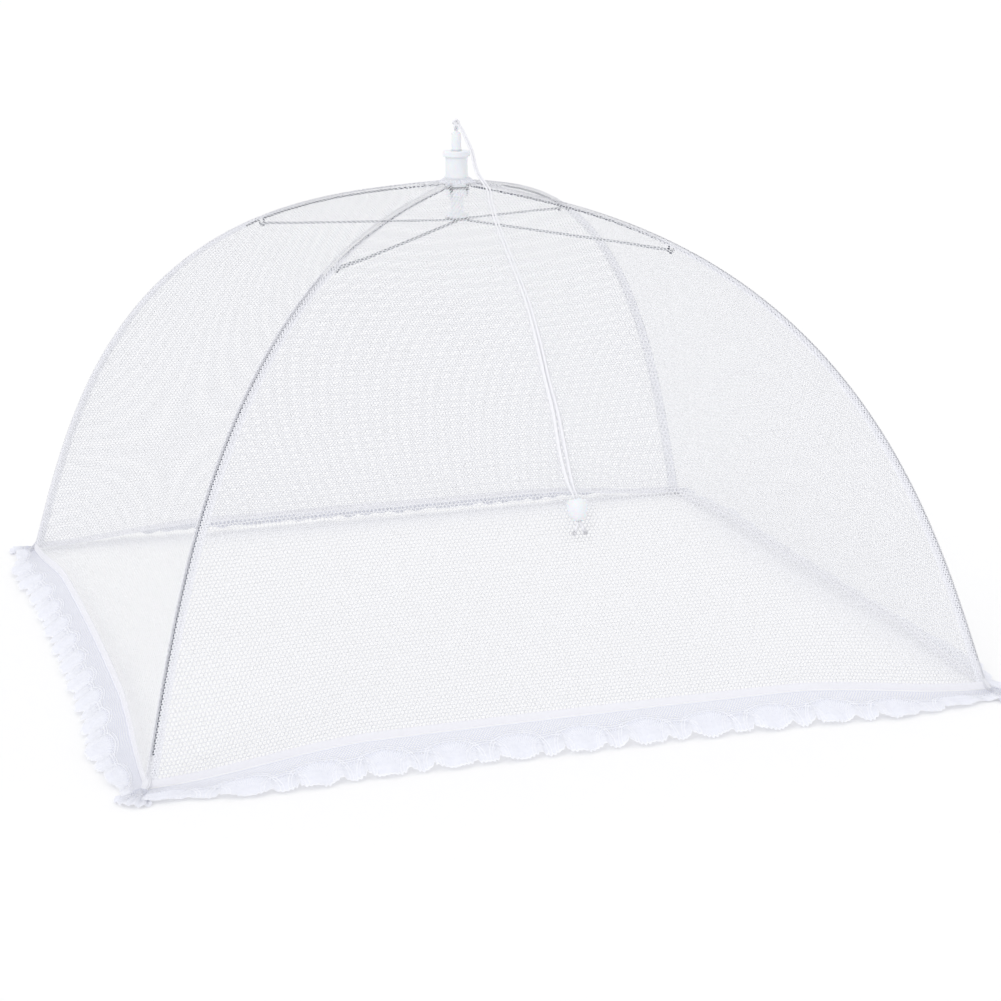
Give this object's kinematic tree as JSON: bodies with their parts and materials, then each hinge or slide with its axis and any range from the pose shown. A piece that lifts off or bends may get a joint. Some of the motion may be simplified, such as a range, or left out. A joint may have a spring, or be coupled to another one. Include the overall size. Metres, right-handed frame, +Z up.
{
  "type": "food cover net",
  "caption": "Pop-up net food cover: spring-wire ribs on a crown hub, hairpin stretchers to a cord-pulled runner, net gores, lace frill.",
  "frame": {"origin": "table level under the middle of the four rib tips, on the hub's axis", "axes": "+Z up along the hub's axis, -Y towards the front panel, +X towards the right panel"},
  "size_m": [0.4788, 0.4788, 0.284],
  "materials": {
    "white_plastic": "plain moulded",
    "spring_wire": "drawn, dark",
    "ring_wire": "drawn",
    "white_net": "open knitted net",
    "white_tape": "woven tape",
    "white_lace": "fine lace",
    "white_cord": "braided cord"
  },
  "bodies": {
    "canopy": {"crown_hub": "white_plastic", "crown_ring": "ring_wire", "crown_gather": "white_net", "net_panel_front": "white_net", "net_panel_right": "white_net", "net_panel_back": "white_net", "net_panel_left": "white_net", "hem_band_front": "white_tape", "hem_band_right": "white_tape", "hem_band_back": "white_tape", "hem_band_left": "white_tape", "lace_front": "white_lace", "lace_right": "white_lace", "lace_back": "white_lace", "lace_left": "white_lace", "pull_cord_left": "white_cord", "pull_cord_right": "white_cord", "cord_bell": "white_plastic"},
    "runner": {"runner": "white_plastic", "runner_ring": "ring_wire", "cord_knot": "white_cord"},
    "rib_front_left": {"rib_front_left": "spring_wire", "seam_tape_front_left": "white_tape", "corner_pocket_front_left": "white_lace"},
    "rib_front_right": {"rib_front_right": "spring_wire", "seam_tape_front_right": "white_tape", "corner_pocket_front_right": "white_lace"},
    "rib_back_right": {"rib_back_right": "spring_wire", "seam_tape_back_right": "white_tape", "corner_pocket_back_right": "white_lace"},
    "rib_back_left": {"rib_back_left": "spring_wire", "seam_tape_back_left": "white_tape", "corner_pocket_back_left": "white_lace"},
    "stretcher_front_left": {"stretcher_front_left": "spring_wire"},
    "stretcher_front_right": {"stretcher_front_right": "spring_wire"},
    "stretcher_back_right": {"stretcher_back_right": "spring_wire"},
    "stretcher_back_left": {"stretcher_back_left": "spring_wire"}
  },
  "joints": [
    {"name": "runner_slide", "type": "slide", "parent": "canopy", "child": "runner", "axis": [0, 0, -1], "range_m": [0, 0.178], "deforming": ["net_panel_front", "net_panel_right", "net_panel_back", "net_panel_left", "hem_band_front", "hem_band_right", "hem_band_back", "hem_band_left", "lace_front", "lace_right", "lace_back", "lace_left", "pull_cord_left", "pull_cord_right"]},
    {"name": "rib_fold_front_left", "type": "hinge", "parent": "canopy", "child": "rib_front_left", "pos_m": [-0.00438, -0.00438, 0.24757], "axis": [0.7071, -0.7071, 0], "range_deg": [0, 38]},
    {"name": "rib_fold_front_right", "type": "hinge", "parent": "canopy", "child": "rib_front_right", "pos_m": [0.00438, -0.00438, 0.24757], "axis": [0.7071, 0.7071, 0], "range_deg": [0, 38]},
    {"name": "rib_fold_back_right", "type": "hinge", "parent": "canopy", "child": "rib_back_right", "pos_m": [0.00438, 0.00438, 0.24757], "axis": [-0.7071, 0.7071, 0], "range_deg": [0, 38]},
    {"name": "rib_fold_back_left", "type": "hinge", "parent": "canopy", "child": "rib_back_left", "pos_m": [-0.00438, 0.00438, 0.24757], "axis": [-0.7071, -0.7071, 0], "range_deg": [0, 38]},
    {"name": "stretcher_turn_front_left", "type": "hinge", "parent": "rib_front_left", "child": "stretcher_front_left", "pos_m": [-0.09066, -0.09066, 0.2205], "axis": [0.7071, -0.7071, 0], "range_deg": [-97, 0]},
    {"name": "stretcher_turn_front_right", "type": "hinge", "parent": "rib_front_right", "child": "stretcher_front_right", "pos_m": [0.09066, -0.09066, 0.2205], "axis": [0.7071, 0.7071, 0], "range_deg": [-97, 0]},
    {"name": "stretcher_turn_back_right", "type": "hinge", "parent": "rib_back_right", "child": "stretcher_back_right", "pos_m": [0.09066, 0.09066, 0.2205], "axis": [-0.7071, 0.7071, 0], "range_deg": [-97, 0]},
    {"name": "stretcher_turn_back_left", "type": "hinge", "parent": "rib_back_left", "child": "stretcher_back_left", "pos_m": [-0.09066, 0.09066, 0.2205], "axis": [-0.7071, -0.7071, 0], "range_deg": [-97, 0]}
  ],
  "couplings": [
    {"joint": "rib_fold_front_left", "follows": "runner_slide", "rad_per_m": 3.72},
    {"joint": "rib_fold_front_right", "follows": "runner_slide", "rad_per_m": 3.72},
    {"joint": "rib_fold_back_right", "follows": "runner_slide", "rad_per_m": 3.72},
    {"joint": "rib_fold_back_left", "follows": "runner_slide", "rad_per_m": 3.72},
    {"joint": "stretcher_turn_front_left", "follows": "runner_slide", "rad_per_m": -9.45},
    {"joint": "stretcher_turn_front_right", "follows": "runner_slide", "rad_per_m": -9.45},
    {"joint": "stretcher_turn_back_right", "follows": "runner_slide", "rad_per_m": -9.45},
    {"joint": "stretcher_turn_back_left", "follows": "runner_slide", "rad_per_m": -9.45}
  ]
}
